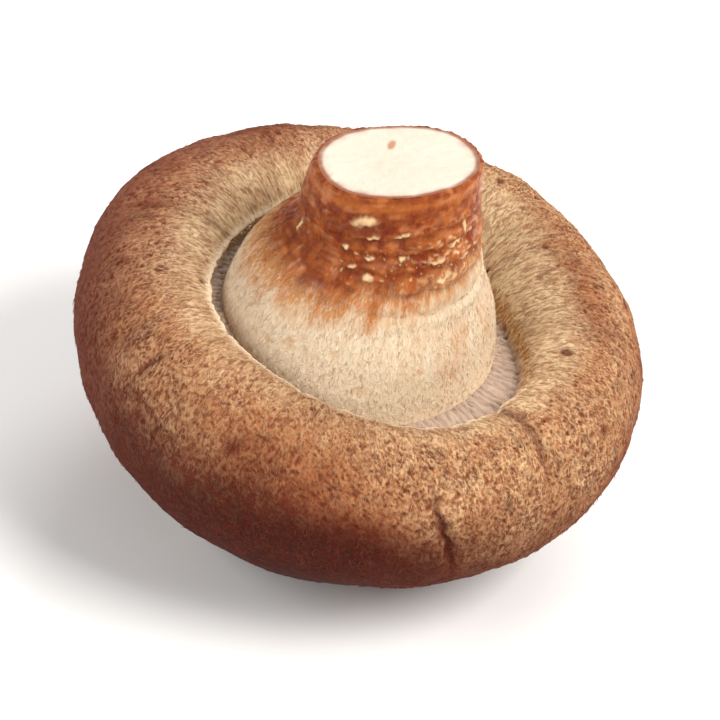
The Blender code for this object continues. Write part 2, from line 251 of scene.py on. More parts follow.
class MushroomColours(bpy.types.PropertyGroup):
    """Colours of the skin, the felt and the flesh."""

    skin_brown: colour("Skin brown", "Cap skin", 122, 48, 28)
    skin_red: colour("Skin red", "Darker blotches of the cap skin", 84, 27, 16)
    # painted shadow: the skin darkest low down on the front of the cap
    skin_painted_shadow: colour("Skin dusk", "Darkest skin, low down in front", 58, 14, 8)
    skin_mauve: colour("Skin mauve", "Greyer skin at the back and left", 142, 88, 72)
    skin_orange: colour("Skin orange", "Skin under thin felt", 163, 99, 60)
    felt_tan: colour("Felt tan", "Curly felt over the margin", 218, 176, 130)
    felt_beige: colour("Felt beige", "Straight fibres by the lip", 228, 200, 158)
    # lip cream is also the painted light on the foot by the groove
    lip_cream: colour("Lip cream", "Thin edge of the lip", 250, 228, 196)
    # pit brown is also the painted shade in creases, furrows, between gill edges and on the stalk's left
    # side
    pit_brown: colour("Pit brown", "Between the fibres", 98, 38, 22)
    flesh: colour("Flesh", "Flesh in the cracks", 226, 194, 160)
    groove: colour("Groove", "Floor of the groove", 210, 186, 166)
    foot_cream: colour("Foot cream", "Felt on the foot", 222, 205, 179)
    foot_tan: colour("Foot tan", "Where the felt thins out", 192, 132, 76)
    stalk_brown: colour("Stalk brown", "Skin of the stalk", 116, 34, 12)
    # stalk orange is also the painted highlight on wet patches and under the cut
    stalk_orange: colour("Stalk orange", "Lighter skin of the stalk", 184, 104, 46)
    scale_cream: colour("Scale cream", "Small scales on the stalk", 242, 208, 158)
    cut_cream: colour("Cut cream", "The cut face", 224, 211, 194)
    cut_rim: colour("Cut rim", "Edge of the cut face", 140, 72, 34)
    rust: colour("Rust", "Small spot on the cut face", 178, 112, 50)
    floor: bpy.props.FloatVectorProperty(
        name="Floor", description="The studio floor", default=(0.9, 0.9, 0.9), subtype="COLOR", min=0, max=1
    )


def lattice_hash(cell, seed):
    """A well mixed whole number below 2**32 for each corner of a lattice of cubes."""
    mixed = cell[..., 0] * 374761393 + cell[..., 1] * 668265263 + cell[..., 2] * 974634777
    mixed = (mixed + seed * 1103515245) & 0xFFFFFFFF
    mixed = ((mixed ^ (mixed >> 13)) * 1274126177) & 0xFFFFFFFF
    return mixed ^ (mixed >> 16)


def noise(points, seed):
    """Gradient noise from about -1 to 1: each lattice corner has a random slope, blended between."""
    cell = np.floor(points)
    part = points - cell
    cell = cell.astype(np.int64)
    fade = part**3 * (part * (part * 6 - 15) + 10)
    total = np.zeros(points.shape[:-1])
    for corner in itertools.product((0, 1), repeat=3):
        gradient = GRADIENTS[lattice_hash(cell + np.array(corner), seed) & 63]
        weight = np.prod(np.where(corner, fade, 1 - fade), axis=-1)
        total += weight * ((part - corner) * gradient).sum(axis=-1)
    return total * 1.5


def spots(points, size, amount, seed):
    """Round spots, 1 in the middle: one in a share of the cubes of a lattice has a spot in it."""
    points = points / size
    cell = np.floor(points).astype(np.int64)
    found = np.zeros(points.shape[:-1])
    for corner in itertools.product((-1, 0, 1), repeat=3):
        cube = cell + np.array(corner)
        place = np.stack([lattice_hash(cube, seed + k) / 2**32 for k in range(3)], axis=-1)
        chosen = lattice_hash(cube, seed + 3) / 2**32
        distance = np.linalg.norm(points - cube - place, axis=-1)
        radius = 0.2 + 0.35 * lattice_hash(cube, seed + 4) / 2**32
        spot = np.clip(1 - distance / radius, 0, 1) * (chosen < amount)
        found = np.maximum(found, spot)
    return np.clip(found * 2, 0, 1)


def waves(angle, *terms):
    """A sum of cosines round the axis. Each term is its count of waves, height and place in degrees."""
    total = np.zeros_like(angle)
    for count, height, place in terms:
        total = total + height * np.cos(count * (angle - math.radians(place)))
    return total


def ease(value, low, high):
    """0 below low, 1 above high, and 3 t squared less 2 t cubed between."""
    t = np.clip((value - low) / (high - low), 0, 1)
    return t * t * (3 - 2 * t)


def bump(value, middle, reach):
    """1 in the middle, falling off either side as a bell: e to minus the square of the distance."""
    return np.exp(-(((value - middle) / reach) ** 2))


def angle_from(angle, degrees):
    """The angle past a place, between minus and plus half a turn."""
    past = angle - math.radians(degrees)
    return np.arctan2(np.sin(past), np.cos(past))


def near(angle, degrees, reach):
    """1 at a place round the axis, and falling off as a bell either side of it."""
    return bump(angle_from(angle, degrees), 0, reach)


def streaky(flow, across, down, seed):
    """Noise whose lumps have one size round the body and another down it."""
    return noise(flow / np.array([across, across, down]), seed)


def smooth_path(points, step):
    """Points about every step along the Catmull-Rom curve through the given points."""
    points = np.array(points)
    padded = np.vstack([2 * points[0] - points[1], points, 2 * points[-1] - points[-2]])
    path = []
    for before, start, end, after in zip(padded, padded[1:], padded[2:], padded[3:]):
        count = max(1, round(float(np.linalg.norm(end - start)) / step))
        for t in np.arange(count) / count:
            slope = end - before
            bend = 2 * before - 5 * start + 4 * end - after
            twist = 3 * start - before - 3 * end + after
            path.append(start + 0.5 * t * (slope + t * (bend + t * twist)))
    path.append(points[-1])
    return np.array(path)


def even_steps(path, count):
    """That many points, evenly spaced along a path of straight pieces."""
    gone = np.concatenate([[0], np.cumsum(np.linalg.norm(np.diff(path, axis=0), axis=1))])
    stops = np.linspace(0, gone[-1], count)
    return np.stack([np.interp(stops, gone, path[:, k]) for k in range(path.shape[1])], axis=-1)


def cap_radius(shape, angle):
    """Radius of the widest ring: the cap's radius, with waves of two, three and five lobes."""
    return shape.cap_radius * (1 + waves(angle, (2, 0.011, 146), (3, 0.009, 30), (5, 0.004, 20)))


def lip_radius(shape, angle):
    """Radius of the lip: its mean, further out in front, with waves of two and three lobes."""
    return shape.lip_radius + MM * waves(angle, (1, 1.6, -75), (2, 0.5, -60), (3, 0.7, -30))


def roll_height(shape, angle):
    """How high the margin's crest is over the widest ring: its mean, times 1 plus four waves."""
    rise = waves(angle, (1, 0.05, 130), (2, 0.02, 147), (3, 0.02, 15), (4, 0.03, 55))
    return shape.roll_height * (1 + rise)


def roll_turn(shape, angle):
    """How far the margin curls in: its mean angle, and waves of one and three lobes."""
    return shape.roll_turn + np.radians(waves(angle, (1, 6.0, 50), (3, 2.0, 40)))


def roll_point(shape, angle, turn):
    """Radius and height on the rolled margin, an elliptical arc whose turn is 0 at the widest ring.

    It moves in with 1 less the turn's cosine and up with its sine, and ends on the lip."""
    whole = 1 - np.cos(roll_turn(shape, angle))
    inward = (cap_radius(shape, angle) - lip_radius(shape, angle)) / whole
    radius = cap_radius(shape, angle) - inward * (1 - np.cos(turn))
    return radius, shape.crown_depth + roll_height(shape, angle) * np.sin(turn)


def crown_point(shape, angle, turn):
    """Radius and height on the crown, a superellipse whose turn is 0 at the widest ring.

    The radius is the cap's times the turn's cosine to the power of 2 over the fullness, and the
    height is the crown's depth times 1 less the same power of its sine."""
    power = 2 / shape.crown_fullness
    radius = cap_radius(shape, angle) * np.cos(turn) ** power
    return radius, shape.crown_depth * (1 - np.sin(turn) ** power)


def ring_points(angle, radius, height):
    """Rings of points, one for each row, from a radius and height at each angle."""
    angle, radius, height = np.broadcast_arrays(angle, radius, height)
    return np.stack([radius * np.cos(angle), radius * np.sin(angle), height], axis=-1)


def fold_depth(shape, points):
    """How far the folds sink the outer skin of the margin: a bell round the cap times one up it."""
    x, y, z = np.moveaxis(points, -1, 0)
    angle, radius = np.arctan2(y, x), np.hypot(x, y)
    inner = lip_radius(shape, angle)
    depth = np.zeros_like(z)
    for place, height, width, reach, deep, slant, _ in FOLDS:
        along = z / MM - height
        aside = angle_from(angle - np.radians(slant) * along, place) * radius / MM
        depth = depth + deep * MM * bump(aside, 0, width) * bump(along, 0, reach)
    return depth * ease(radius, inner, inner + 2 * MM)


def crease_mask(points):
    """1 along the bottom of the sharp folds, scaled by how dark their painted shade is."""
    x, y, z = np.moveaxis(points, -1, 0)
    mask = np.zeros_like(z)
    for place, height, width, reach, _, slant, dark in FOLDS:
        if 0 < dark:
            along = z / MM - height
            aside = angle_from(np.arctan2(y, x) - np.radians(slant) * along, place)
            aside = aside * np.hypot(x, y) / MM
            aside = aside + 0.4 * noise(points / (1.2 * MM), 89)
            mask = np.maximum(mask, dark * bump(aside, 0, 0.3 * width) * bump(along, 0, reach))
    return mask


def grow(shape, points):
    """The warp from the even body to the grown one: the slanting cut, the crown's bulge and lumps."""
    x, y, z = np.moveaxis(points, -1, 0)
    risen = ease(z, 27.0 * MM, 36.5 * MM)
    height = z + risen * (shape.cut_slope_x * x + shape.cut_slope_y * y)
    points = np.stack([x, y, height], axis=-1)
    sunk = 1 - ease(height, 0, shape.crown_depth)
    shift = sunk[..., None] * np.array([shape.crown_shift_x, shape.crown_shift_y, 0])
    x, y, z = np.moveaxis(points / (10 * MM), -1, 0)
    swell = np.sin(2.3 * x + 1.1 * y + 0.8) * np.cos(1.9 * y - 1.3 * z + 0.4)
    ripple = np.sin(4.7 * x - 3.1 * y + 2.2 * z) * np.sin(3.9 * y + 2.8 * z + 1.7)
    size = 0.3 * MM * swell + 0.12 * MM * ripple - fold_depth(shape, points)
    away = points - np.array([0, 0, shape.crown_depth])
    away = away / np.maximum(np.linalg.norm(away, axis=-1, keepdims=True), 1 * MM)
    return points + shift + size[..., None] * away


def lean_matrix(shape):
    """Turns the growing frame over by the lean, towards its heading."""
    c, s = math.cos(shape.lean_towards), math.sin(shape.lean_towards)
    heading = np.array([[c, -s, 0], [s, c, 0], [0, 0, 1]])
    c, s = math.cos(shape.lean), math.sin(shape.lean)
    tip = np.array([[c, 0, s], [0, 1, 0], [-s, 0, c]])
    return heading @ tip @ heading.T


def flat_spot(shape):
    """Middle of the flat spot on the leaned crown, from the rings that the solid's crown has."""
    angle = np.arange(SOLID_SIDES) * (2 * math.pi / SOLID_SIDES)
    turn = np.arange(1, SOLID_CROWN_STEPS)[:, None] / SOLID_CROWN_STEPS * math.pi / 2
    rings = ring_points(angle, *crown_point(shape, angle, turn)).reshape(-1, 3)
    leaned = grow(shape, np.vstack([rings, np.zeros((1, 3))])) @ lean_matrix(shape).T
    floor = leaned[:, 2].min() + shape.pressed_depth
    return np.array([*leaned[leaned[:, 2] < floor][:, :2].mean(axis=0), floor])


def lay_down(shape, points):
    """Leans grown points over and sets the flat spot's middle at the origin."""
    rested = points @ lean_matrix(shape).T - flat_spot(shape)
    rested[..., 2] = np.maximum(rested[..., 2], 0)
    return rested


def outward(points):
    """Normals of rings of points that run down the body, from the slopes along and round them."""
    down = np.gradient(points, axis=0)
    along = np.roll(points, -1, axis=1) - np.roll(points, 1, axis=1)
    normal = np.cross(down, along)
    size = np.linalg.norm(normal, axis=-1, keepdims=True)
    return normal / np.maximum(size, 1e-15)


def run_down(points):
    """How far each point is down its column from the first ring, in mm."""
    steps = np.linalg.norm(np.diff(points, axis=0), axis=-1)
    return np.concatenate([np.zeros((1, points.shape[1])), np.cumsum(steps, axis=0)]) / MM


def ridges(value, sharpness):
    """Thin crests where a noise crosses zero: 1 less a multiple of its size, cut off below 0."""
    return np.clip(1 - sharpness * np.abs(value), 0, 1)


def fibre_net(flow, size, stretch, curl, seed):
    """Matted fibres: crests and grain of noises stretched along the flow, in a space more noise bends."""
    bent = flow.copy()
    for axis in range(3):
        bent[..., axis] += curl * size * noise(flow / (2.6 * size), seed + axis)
    cells = bent / np.array([size, size, size * stretch])
    coarse = ridges(noise(cells, seed + 5), 2.4)
    grain = np.clip(0.5 + 0.7 * noise(cells * 1.4, seed + 6), 0, 1)
    fine = ridges(noise(cells * 2.3, seed + 7), 2.0)
    return 0.36 * coarse + 0.42 * grain + 0.22 * fine


def crack_gap(points, seed):
    """How far each point is outside the nearest crack in mm, made ragged. It is below 0 inside one.

    A crack is half its width either side of its path, times the root of a sine along it."""
    plan = points[..., :2] / MM
    ragged = 0.22 * noise(points / (1.3 * MM), seed) + 0.1 * noise(points / (0.45 * MM), seed + 1)
    nearest = np.full(plan.shape[:-1], 9.0)
    for width, path in CRACKS:
        path = smooth_path(path, 0.3)
        share = np.linspace(0, 1, len(path))
        half = 0.5 * width * np.sqrt(np.sin(np.pi * np.clip(share, 0.02, 0.98)))
        low, high = path.min(axis=0) - 2, path.max(axis=0) + 2
        close = np.all((plan > low) & (plan < high), axis=-1)
        gap = np.linalg.norm(plan[close][:, None, :] - path[None, :, :], axis=-1) - half
        nearest[close] = np.minimum(nearest[close], gap.min(axis=1))
    return nearest + ragged


def sloping(angle):
    """1 where the groove's wall slopes in, right of the stalk, and 0 where it runs in under the lip."""
    return 1 - ease(np.abs(angle_from(angle, 28)), math.radians(42), math.radians(78))


def cap_surface(shape, relief):
    """Rings of the cap from the groove's floor over the lip and margin to the crown, with its masks."""
    angle = np.arange(CAP_SIDES) * (2 * math.pi / CAP_SIDES)
    turned = roll_turn(shape, angle)
    lip, lip_height = roll_point(shape, angle, turned)
    front = even_steps(smooth_path(GROOVE, 0.1 * MM), GROOVE_RINGS)[:-1, None]
    right = even_steps(smooth_path(SLOPING_GROOVE, 0.1 * MM), GROOVE_RINGS)[:-1, None]
    steps = front + (right - front) * sloping(angle)[:, None]
    deep = 1 + waves(angle, (1, 0.25, -85)) - 0.42 * near(angle, 176, 0.75)
    groove = ring_points(angle, lip + steps[..., 0], lip_height + deep * steps[..., 1])
    under = np.linspace(0, 1, HIDDEN_RINGS)[:-1, None, None]
    hidden = ring_points(angle, 10.6 * MM, groove[0, :, 2] - 0.1 * MM)
    groove = np.concatenate([hidden + under * (groove[0] - hidden), groove])
    share = np.concatenate([np.linspace(1, 0.7, LIP_RINGS)[:-1], np.linspace(0.7, 0, MARGIN_RINGS)])[:, None]
    roll = ring_points(angle, *roll_point(shape, angle, share * turned))
    turn = np.concatenate([np.linspace(0, 0.3, SIDE_RINGS)[1:], np.linspace(0.3, 1, CROWN_RINGS)[1:-1]])
    turn = turn[:, None]
    crown = ring_points(angle, *crown_point(shape, angle, turn * math.pi / 2))
    even = np.concatenate([groove, roll, crown])
    place = np.concatenate([np.ones((len(groove), 1)), share, -turn]) + 0 * angle
    down = run_down(even) - run_down(even)[len(groove)]
    ring = 22 * np.stack([np.cos(angle), np.sin(angle)], axis=-1)
    flow = np.concatenate([np.broadcast_to(ring, (*even.shape[:2], 2)), down[..., None]], axis=-1)
    masks = cap_masks(relief, angle + 0 * place, place, down, flow, even)
    grown = grow(shape, even)
    normal = outward(grown)
    points = grown + normal * masks.pop("raised")[..., None]
    points = lay_down(shape, points)
    masks["flow"] = flow
    cuts = np.cumsum([len(groove) + LIP_RINGS - 1, MARGIN_RINGS - 1, SIDE_RINGS - 1])
    return points, masks, [0, *cuts.tolist(), len(even)]


def cap_masks(relief, angle, place, down, flow, even):
    """Where each finish of the cap is, and how far its relief is raised.

    place is 1 at the lip, 0 at the widest ring and -1 at the crown. down is mm past the lip."""
    broad = noise(flow / 6.5, 21)
    patchy = noise(flow / 2.4, 22)
    in_groove = ease(-down, 0.1, 0.7)
    on_floor = ease(-down, 1.3, 2.2)
    in_front = near(angle, -100, 1.0)
    curly = fibre_net(flow, 0.38, 1.4, 0.9, 31)
    straight = fibre_net(flow, 0.4, 3.6, 0.6, 41)
    border = 0.56 + waves(angle, (1, 0.1, 165)) - 0.36 * near(angle, -45, 0.6)
    border = border + 0.12 * near(angle, 125, 0.6) - 0.2 * near(angle, 45, 0.8)
    border = border + 0.1 * near(angle, -93, 0.35)
    ragged = place + 0.12 * broad + 0.08 * patchy
    tan = ease(ragged, border - 0.36, border + 0.2)
    tan = np.clip(tan + 0.6 * near(angle, -132, 0.45) * bump(place, 0.33, 0.25), 0, 1)
    orange = ease(ragged, border - 0.58, border - 0.1)
    # painted shadow low down on the front of the margin, which also thins the felt, the orange and the pale
    # fibres there
    painted_shadow = near(angle, -102, 1.15) * (1 - ease(place + 0.05 * broad, -0.02, 0.32))
    reached = 0.1 * near(angle, 50, 0.6) - 0.07 * near(angle, 125, 0.6)
    combed = ease(place + 0.06 * patchy + reached, 0.6, 0.84)
    beige = combed * (1 - 0.7 * in_front)
    stain = near(angle, 24, 0.42) * bump(place, 0.6, 0.13)
    mauve = waves(angle, (1, 0.8, 155)) + 0.7 * broad + 0.7 * near(angle, 2, 0.6)
    mauve = np.clip(0.1 + mauve, 0, 1)
    felt = curly * (1 - combed) + straight * combed
    felted = ease(place + 0.05 * broad, -0.5, -0.12)
    gap = crack_gap(even, 51)
    crack = (1 - ease(gap, -0.3, 0.12)) * (place < 0)
    swell = bump(gap, 0.35, 0.35) * ease(-place, 0.2, 0.4)
    warts = noise(even / (1.15 * MM), 61) + 0.5 * noise(even / (0.5 * MM), 62)
    frayed = flow + 0.16 * np.stack([noise(flow / 0.3, 78), noise(flow / 0.3, 79), 0 * place], axis=-1)
    specks = spots(frayed, 0.55, 0.6, 71) * ease(place, -0.35, -0.1) * (1 - 0.8 * combed)
    specks = specks * ease(broad + noise(flow / 1.1, 76), -0.35, 0.35)
    specks = np.maximum(specks, spots(frayed, 1.6, 0.04, 75) * ease(place, 0.05, 0.3))
    lipped = 1 - sloping(angle)
    wide = 0.28 + 0.45 * near(angle, -102, 1.3)
    rim = bump(down, 0.14 + 0.1 * patchy, wide + 0.07 * patchy) * lipped
    streaks = streaky(flow, 0.9, 3.4, 85) + 0.6 * streaky(flow, 0.4, 1.3, 86)
    marks = ease(streaks + 0.5 * noise(flow / 3.0, 87), 0.5, 0.85) * (1 - 0.75 * combed)
    gill = np.abs(np.sin(0.5 * relief.gills * angle + 1.8 * patchy + 1.2 * noise(flow / 1.1, 88))) ** 0.7
    holes = 0.8 * spots(flow, 0.6, 0.35, 74) * on_floor
    holes = np.maximum(spots(flow, 1.0, 0.4, 77) * bump(-down, 2.3, 0.7), holes)
    raised = (relief.felt * (1 - combed) + relief.streaks * combed) * (felt - 0.5) * felted
    raised -= 0.1 * MM * specks
    raised += (0.14 * streaky(flow, 2.2, 7.0, 83) + 0.05 * streaks) * MM * felted
    # the creases are sunk, and darkened with painted shade through the specks and marks
    crease = crease_mask(even) * (-0.3 < place)
    for middle, below, size in PITS:
        away = np.hypot(angle_from(angle, middle) * 24, down - below) / size
        specks = np.maximum(specks, bump(away, 0, 1) ** 0.7)
    raised += 0.07 * MM * rim - 0.05 * MM * marks * felted - 0.35 * MM * crease
    raised += relief.skin * warts * (1 - felted) * (1 - crack)
    raised += 0.08 * MM * swell - relief.crack * crack * (0.8 + 0.2 * warts)
    raised = raised * (1 - on_floor) + relief.gill * on_floor * (gill - 0.6) - 0.3 * MM * holes
    raised += 0.16 * MM * streaky(flow, 1.1, 4.0, 81) * bump(down, 0, 0.7)
    return {
        "raised": raised,
        "felt": felt,
        "felted": felted,
        "tan": tan * (1 - 0.8 * stain),
        "orange": orange * (1 - 0.6 * painted_shadow),
        "painted_shadow": painted_shadow,
        "beige": beige * (1 - 0.6 * stain),
        "mauve": mauve,
        "crack": crack,
        # specks and marks also carry the painted shade along the creases
        "specks": np.maximum(np.maximum(specks, holes), crease),
        "marks": np.maximum(marks * felted, 1.5 * crease),
        "streaks": 0.5 + 0.5 * streaks,
        "rim": rim,
        "wall": in_groove,
        "groove": on_floor,
        "gill": gill,
    }


def stalk_surface(shape, relief):
    """Rings of the stalk from the edge of the cut down over its foot into the groove, with its masks."""
    angle = np.arange(STALK_SIDES) * (2 * math.pi / STALK_SIDES)
    top, radius = shape.stalk_top_height, shape.stalk_top_radius
    corner = np.linspace(math.pi / 2, 0, CORNER_RINGS)[:-1]
    corner = [radius - CUT_CORNER * (1 - np.cos(corner)), top - CUT_CORNER * (1 - np.sin(corner))]
    corner = np.stack(corner, axis=-1)
    side = smooth_path(((radius, top - CUT_CORNER), *STALK_SIDE), 0.1 * MM)
    side = even_steps(side, STALK_RINGS)
    profile = np.concatenate([corner, side])
    wide, height = profile[:, :1], profile[:, 1:] + 0 * angle
    flare = np.maximum(0, wide - 8.0 * MM)
    wander = height + 0.35 * MM * np.sin(2 * angle + 0.6)
    flow = flow_of_stalk(angle, height)
    torn = wander + 0.32 * MM * streaky(flow, 2.2, 1.2, 91)
    torn = torn - 0.5 * MM * np.clip(angle_from(angle, -70), 0, 1.2)
    inside = ease(height, 27.4 * MM, 28.9 * MM) * (1 - ease(height, 34.9 * MM, 36.4 * MM))
    strength = 0.35 + 0.85 * near(angle, -35, 0.8)
    strength = strength * (0.75 + 0.5 * streaky(flow, 1.5, 1.0, 92))
    crest = np.abs(np.sin(np.pi * torn / (1.5 * MM)))
    ripple = relief.wrinkle * inside * strength * crest
    even = ring_points(angle, wide + flare * waves(angle, (1, shape.foot_spread, -85)) + ripple, height)
    even[..., 0] += shape.stalk_shift_x + 0.55 * MM * bump(height, 32.0 * MM, 2.6 * MM)
    even[..., 1] += shape.stalk_shift_y
    masks = stalk_masks(relief, angle + 0 * height, height, flow)
    # painted shade in the troughs between the wrinkles
    masks["painted_furrow_shade"] = inside * strength * (1 - crest) ** 2 * ease(height, 29.2 * MM, 31 * MM)
    # pale dashes on the wrinkle crests at the front right: pale scales and a painted highlight on the crests
    crest_dashes_and_painted_highlight = ease(streaky(flow, 0.6, 0.3, 93), -0.05, 0.5)
    crest_dashes_and_painted_highlight = 0.8 * crest_dashes_and_painted_highlight * inside * ease(crest, 0.55, 0.95) * near(angle, -34, 0.55)
    masks["scale"] = np.maximum(masks["scale"], crest_dashes_and_painted_highlight * ease(height, 29.5 * MM, 31 * MM))
    grown = grow(shape, even)
    points = grown + outward(grown) * masks.pop("raised")[..., None]
    masks["flow"] = flow
    return lay_down(shape, points), masks, [0, DARK_RINGS, len(even)]


def flow_of_stalk(angle, height):
    """Coordinates in mm that run round the stalk and down it."""
    angle, height = np.broadcast_arrays(angle, height)
    return np.stack([9.5 * np.cos(angle), 9.5 * np.sin(angle), -height / MM], axis=-1)


def stalk_masks(relief, angle, height, flow):
    """Where each finish of the stalk is, and how far its relief is raised."""
    level = height / MM
    broad = noise(flow / 4.0, 101)
    tongues = streaky(flow, 0.9, 3.2, 102)
    fine = streaky(flow, 0.45, 1.4, 103)
    ragged = level + 1.1 * tongues + 0.5 * fine + 0.7 * broad
    edge = 27.6 + waves(angle, (1, 2.1, -10))
    skin = ease(ragged, edge - 1.2, edge + 1.6)
    low = 29.7 + waves(angle, (1, 1.7, -8))
    dark = ease(level + 0.9 * broad + 1.0 * tongues, low - 1.4, low + 1.4)
    wash = near(angle, -35, 0.7) * bump(level, 25.6, 2.4) * ease(broad + tongues, -0.5, 0.6)
    felt = fibre_net(flow, 0.3, 2.8, 0.5, 111)
    scale, painted_scale_shadow = np.zeros_like(level), np.zeros_like(level)
    shift = np.stack([noise(flow / 0.55, 121), noise(flow / 0.55, 122)])
    for place, middle, width, tall in SCALES:
        aside = angle_from(angle, place) * 7.9 + 0.3 * shift[0]
        up = level - middle + 0.22 * shift[1] - 0.12 * aside
        scale = np.maximum(scale, 1 - ease(np.hypot(aside / width, up / tall), 0.35, 0.8))
        # a painted shadow just below each scale
        painted_scale_shadow = np.maximum(painted_scale_shadow, bump(np.hypot(aside / width, (up + 0.45 * tall) / tall), 0, 1.1))
    stray = ease(streaky(flow, 0.45, 0.22, 131), 0.38, 0.7) * bump(level, 32.2, 1.6)
    scale = np.maximum(scale, 0.8 * stray * ease(np.cos(angle_from(angle, -60)), 0.3, 0.8))
    notch = bump(angle_from(angle, -101) * 7.6, 0, 1.0) * bump(level, 36.0, 0.45)
    knots = streaky(flow, 0.8, 0.6, 104)
    raised = relief.foot_felt * (felt - 0.5) * (1 - dark)
    raised += 0.06 * MM * dark * (fine + tongues + knots)
    raised += 0.16 * MM * scale - 0.22 * MM * notch
    rows = streaky(flow, 1.6, 0.42, 106)
    raised += 0.07 * MM * rows * dark
    pores = spots(flow, 1.1, 0.25, 141) * (1 - skin)
    # painted shade: darker on the left side and just below each scale, mixed with random blotches
    painted_shade_and_blotches = 0.1 + waves(angle, (1, 0.5, 200)) + 0.3 * tongues + 0.9 * knots - 0.5 * rows + painted_scale_shadow
    return {
        "raised": raised - 0.05 * MM * pores,
        "felt": felt,
        "skin": np.maximum(skin, 0.55 * wash),
        "dark": dark,
        "scale": scale * ease(level, 28, 30),
        "grey": np.clip(0.15 + waves(angle, (1, 0.5, 185)) + 0.35 * broad, 0, 1) * (1 - skin),
        "pores": pores,
        # painted light: the foot paler low down, next to the groove
        "low": 1 - ease(level, 20.5, 24.5),
        "painted_shade_and_blotches": np.clip(painted_shade_and_blotches, 0, 1),
        # wet patches: a painted highlight of lighter orange, and where the coat goes
        "wet_gleam_and_painted_highlight": ease(streaky(flow, 1.5, 1.1, 105) + 0.5 * knots + 0.4 * rows, 0.0, 0.6),
        # painted highlight: a lighter orange band along the top edge, just under the cut
        "painted_highlight_under_cut": bump(level, 38.1, 0.5 + 0.25 * knots),
    }


def cut_surface(shape):
    """Rings of the cut face, a disc at the stalk's top, from its edge inwards, raised by a fine grain."""
    angle = -np.arange(STALK_SIDES) * (2 * math.pi / STALK_SIDES)
    share = np.linspace(1, 0, FACE_RINGS)[:-1, None]
    radius = share * (shape.stalk_top_radius - CUT_CORNER)
    even = ring_points(angle, radius, shape.stalk_top_height + 0 * radius)
    even += [shape.stalk_shift_x, shape.stalk_shift_y, 0]
    grain = noise(even / (0.9 * MM), 151) + 0.5 * noise(even / (0.35 * MM), 152)
    notched = noise(even / (1.6 * MM), 153)
    fade = 1 - ease(share, 0.9, 1.0)
    even[..., 2] += fade * (0.05 * MM * grain)
    x = (even[..., 0] - shape.stalk_shift_x) / MM
    y = (even[..., 1] - shape.stalk_shift_y) / MM
    rough = share + 0.014 * grain + 0.026 * notched
    masks = {
        "edge": ease(rough, 0.905, 0.965),
        "ring": bump(rough, 0.9, 0.024) * np.clip(0.5 + 1.2 * notched, 0, 1),
        "spot": 1 - ease(np.hypot((x + 1.0) / 0.36, (y - 2.9) / 1.0) + 0.2 * grain, 0.6, 1.3),
        "blush": bump(np.hypot(x + 1.4, y + 0.6), 0, 2.4) * np.clip(0.6 + grain, 0, 1),
    }
    return lay_down(shape, grow(shape, even)), masks


def ring_faces(rows, sides):
    """Quads between neighbouring rings, facing out where the rings run down the body."""
    here = np.arange(sides)
    following = (here + 1) % sides
    upper = (np.arange(rows - 1) * sides)[:, None]
    quads = [upper + here, upper + sides + here, upper + sides + following, upper + following]
    return np.stack(quads, axis=-1).reshape(-1, 4)


def pole_fan(first, middle, sides):
    """Triangles from the last ring, which starts at the point first, to the point in its middle."""
    here = np.arange(sides)
    return np.stack([first + here, np.full(sides, middle), first + (here + 1) % sides], axis=-1)


def build_mesh(name, points, corners, counts):
    """A mesh from points, the corners of all its faces in a row, and how many each face has."""
    mesh = bpy.data.meshes.new(name)
    mesh.vertices.add(len(points))
    mesh.vertices.foreach_set("co", points.astype(np.float32).ravel())
    mesh.loops.add(len(corners))
    mesh.loops.foreach_set("vertex_index", corners.astype(np.int32))
    mesh.polygons.add(len(counts))
    mesh.polygons.foreach_set("loop_start", (np.cumsum(counts) - counts).astype(np.int32))
    mesh.update(calc_edges=True)
    mesh.validate()
    mesh.shade_smooth()
    return mesh


def ring_piece(name, points, normals, masks, rows, material, pole=False):
    """One piece of the skin, from some of the rings. A pole closes the last ring with a fan."""
    part = points[rows]
    count, sides = part.shape[:2]
    flat = part.reshape(-1, 3)
    corners = ring_faces(count, sides)
    counts = np.full(len(corners), 4)
    corners = corners.ravel()
    shading = normals[rows].reshape(-1, 3)
    if pole:
        fan = pole_fan((count - 1) * sides, len(flat), sides)
        corners = np.concatenate([corners, fan.ravel()])
        counts = np.concatenate([counts, np.full(sides, 3)])
        flat = np.vstack([flat, part[-1].mean(axis=0)])
        shading = np.vstack([shading, shading[-sides:].mean(axis=0)])
    mesh = build_mesh(name, flat, corners, counts)
    for key, values in masks.items():
        kept = values[rows].reshape(count * sides, -1)
        if pole:
            kept = np.vstack([kept, kept[-sides:].mean(axis=0)])
        kind, field = ("FLOAT_VECTOR", "vector") if kept.shape[1] == 3 else ("FLOAT", "value")
        layer = mesh.attributes.new(key, kind, "POINT")
        layer.data.foreach_set(field, kept.astype(np.float32).ravel())
    mesh.normals_split_custom_set_from_vertices(shading.tolist())
    return place_piece(name, mesh, material)


def place_piece(name, mesh, material):
    """Links the piece, gives it its material and puts it on the mushroom's body."""
    mesh.materials.append(material)
    piece = bpy.data.objects.new(name, mesh)
    bpy.context.scene.collection.objects.link(piece)
    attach(piece, "root")
    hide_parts("shiitake_mushroom")
    return piece


def add_node(tree, kind, inputs=None, **settings):
    """A node with its settings, and each input set to a value or linked to a socket."""
    node = tree.nodes.new(kind)
    for name, value in settings.items():
        setattr(node, name, value)
    for key, value in (inputs or {}).items():
        if isinstance(value, bpy.types.NodeSocket):
            tree.links.new(value, node.inputs[key])
        else:
            node.inputs[key].default_value = value
    return node


